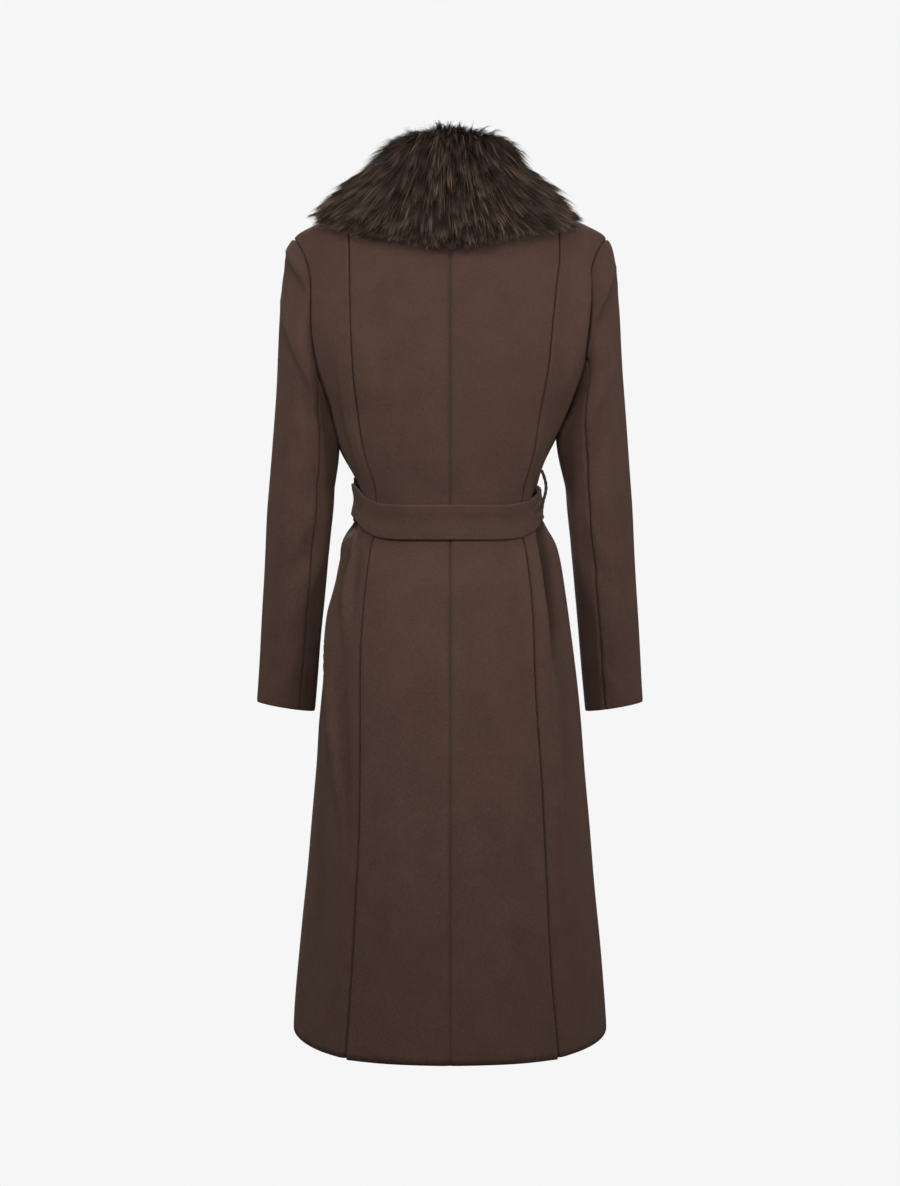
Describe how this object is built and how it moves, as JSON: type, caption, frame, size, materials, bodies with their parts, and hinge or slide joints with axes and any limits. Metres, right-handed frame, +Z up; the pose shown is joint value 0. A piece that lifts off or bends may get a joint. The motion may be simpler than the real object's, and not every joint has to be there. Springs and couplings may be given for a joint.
{
  "type": "fur-collar coat",
  "caption": "Long belted wool coat with a fur shawl collar, wrap front, panelled back and set-in sleeves, filled out as worn and open at neck, cuffs and hem.",
  "frame": {"origin": "midway between the shoulder tips, at their height", "axes": "+Z up, the front faces -Y, the wearer's left is +X"},
  "size_m": [0.5156, 0.3356, 1.1904],
  "materials": {
    "wool_cloth": "felted, matt",
    "fur": "long soft pile",
    "loop_cord": "twisted thread"
  },
  "bodies": {
    "root": {"back_left": "wool_cloth", "back_right": "wool_cloth", "side_back_left": "wool_cloth", "side_back_right": "wool_cloth", "front_left": "wool_cloth", "front_right": "wool_cloth", "top_sleeve_left": "wool_cloth", "top_sleeve_right": "wool_cloth", "under_sleeve_left": "wool_cloth", "under_sleeve_right": "wool_cloth", "belt": "wool_cloth", "belt_knot": "wool_cloth", "belt_tail_left": "wool_cloth", "belt_tail_right": "wool_cloth", "fur_collar": "fur", "belt_loop_left": "loop_cord", "belt_loop_right": "loop_cord"}
  },
  "joints": []
}
